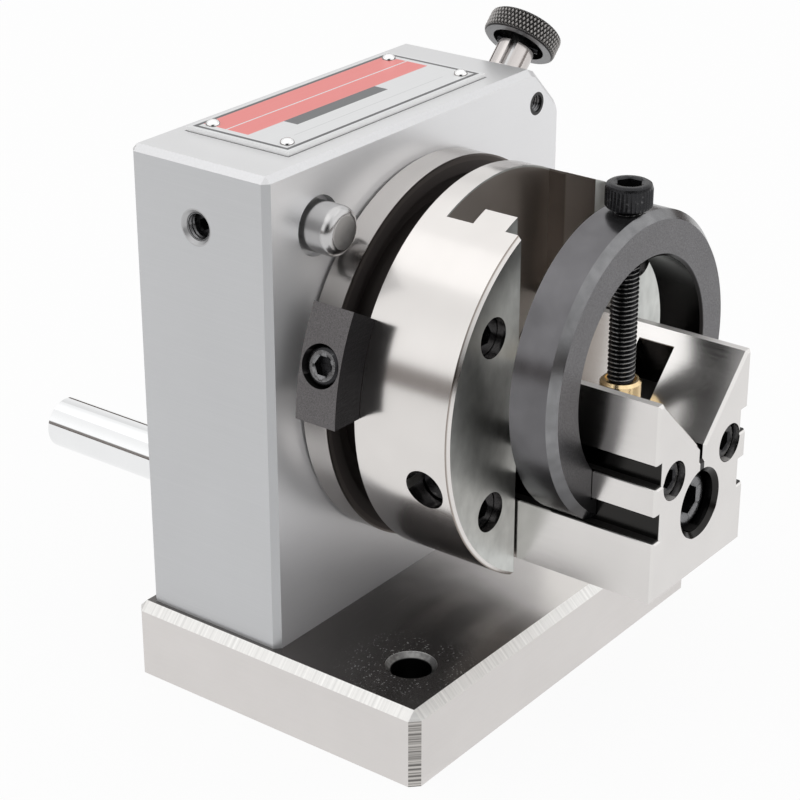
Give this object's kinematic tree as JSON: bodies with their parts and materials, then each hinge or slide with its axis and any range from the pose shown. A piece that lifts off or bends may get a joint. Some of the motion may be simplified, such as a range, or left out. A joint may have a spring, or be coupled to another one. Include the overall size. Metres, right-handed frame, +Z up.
{
  "type": "punch former",
  "caption": "Bench punch former: a grey body on a ground base carries an indexed spindle whose V-block and clamp ring hold a punch blank, with a crank, stop dog and plunger.",
  "frame": {"origin": "middle of the base plate's underside", "axes": "+X across to the index plunger's side, +Y from the V-block back to the crank, +Z up; the V-block faces -Y"},
  "size_m": [0.1189, 0.152, 0.1384],
  "materials": {
    "base_steel": "ground steel with milled chamfers",
    "body_steel": "satin light grey",
    "plate_metal": "brushed, with printed colour bands",
    "rivet_metal": "bright",
    "bush_bronze": "turned bronze",
    "ground_steel": "ground and polished",
    "block_steel": "surface ground",
    "pin_steel": "hardened and ground",
    "index_steel": "milled",
    "washer_steel": "ground",
    "black_screws": "black oxide",
    "spring_steel": "drawn wire",
    "crank_steel": "black oxide",
    "crank_chrome": "bright chrome plate",
    "dog_steel": "dark, rough cast",
    "ring_steel": "black oxide on blasted steel",
    "pad_brass": "turned",
    "knob_steel": "dark, knurled"
  },
  "bodies": {
    "housing": {"base_plate": "base_steel", "body": "body_steel", "body_screws": "black_screws", "body_dowels": "pin_steel", "name_plate": "plate_metal", "name_plate_rivets": "rivet_metal", "spindle_bush": "bush_bronze", "pin_lock_screw": "black_screws", "sleeve_set_screw": "black_screws", "plunger_sleeve": "pin_steel", "plunger_spring": "spring_steel"},
    "stop": {"stop_pin": "pin_steel"},
    "plunger_lift": {"spring_washer": "ground_steel"},
    "plunger": {"plunger_pin": "pin_steel", "cross_pin": "pin_steel", "plunger_knob": "knob_steel"},
    "rotor": {"spindle": "ground_steel", "slot_keeper_left": "ground_steel", "slot_keeper_right": "ground_steel", "keeper_screws": "black_screws", "slide_side_screw": "black_screws", "index_ring": "index_steel", "index_ring_screws": "black_screws", "thrust_washer": "washer_steel", "crank_arm": "crank_steel", "crank_key": "ground_steel", "crank_rod": "crank_chrome", "spindle_nut": "black_screws"},
    "dog": {"stop_dog": "dog_steel", "dog_nut": "black_screws", "dog_screw": "black_screws"},
    "slide": {"v_block": "block_steel", "slide_plate": "ground_steel", "block_screws": "black_screws", "slide_clamp_screw": "black_screws"},
    "yoke": {"clamp_ring": "ring_steel"},
    "pad": {"clamp_pad": "pad_brass"},
    "screw": {"clamp_screw": "black_screws"}
  },
  "joints": [
    {"name": "stop_pin_slide", "type": "slide", "parent": "housing", "child": "stop", "axis": [0, -1, 0], "range_m": [-0.012, 0.008]},
    {"name": "plunger_pull", "type": "slide", "parent": "housing", "child": "plunger_lift", "axis": [0.7071, 0, 0.7071], "range_m": [0, 0.0015], "stiffness_N_per_m": 800, "springref_m": -0.012, "deforming": ["plunger_spring"]},
    {"name": "plunger_turn", "type": "hinge", "parent": "plunger_lift", "child": "plunger", "pos_m": [0, 0.01215, 0.075], "axis": [0.7071, 0, 0.7071], "range_deg": [0, 90]},
    {"name": "spindle_turn", "type": "hinge", "parent": "housing", "child": "rotor", "pos_m": [0, 0, 0.075], "axis": [0, -1, 0], "range_deg": [-9, 250]},
    {"name": "dog_shift", "type": "hinge", "parent": "rotor", "child": "dog", "pos_m": [0, 0, 0.075], "axis": [0, -1, 0], "range_deg": [0, 45]},
    {"name": "block_height", "type": "slide", "parent": "rotor", "child": "slide", "axis": [0, 0, 1], "range_m": [-0.012, 0.006]},
    {"name": "ring_shift", "type": "slide", "parent": "slide", "child": "yoke", "axis": [0, -1, 0], "range_m": [-0.0075, 0.015]},
    {"name": "pad_feed", "type": "slide", "parent": "yoke", "child": "pad", "axis": [0, 0, 1], "range_m": [-0.0009, 0.012]},
    {"name": "screw_turn", "type": "hinge", "parent": "pad", "child": "screw", "pos_m": [0, -0.05262, 0.08], "axis": [0, 0, 1], "range_deg": [-326, 4324]}
  ],
  "couplings": [
    {"joint": "screw_turn", "follows": "pad_feed", "rad_per_m": 6283.2}
  ]
}
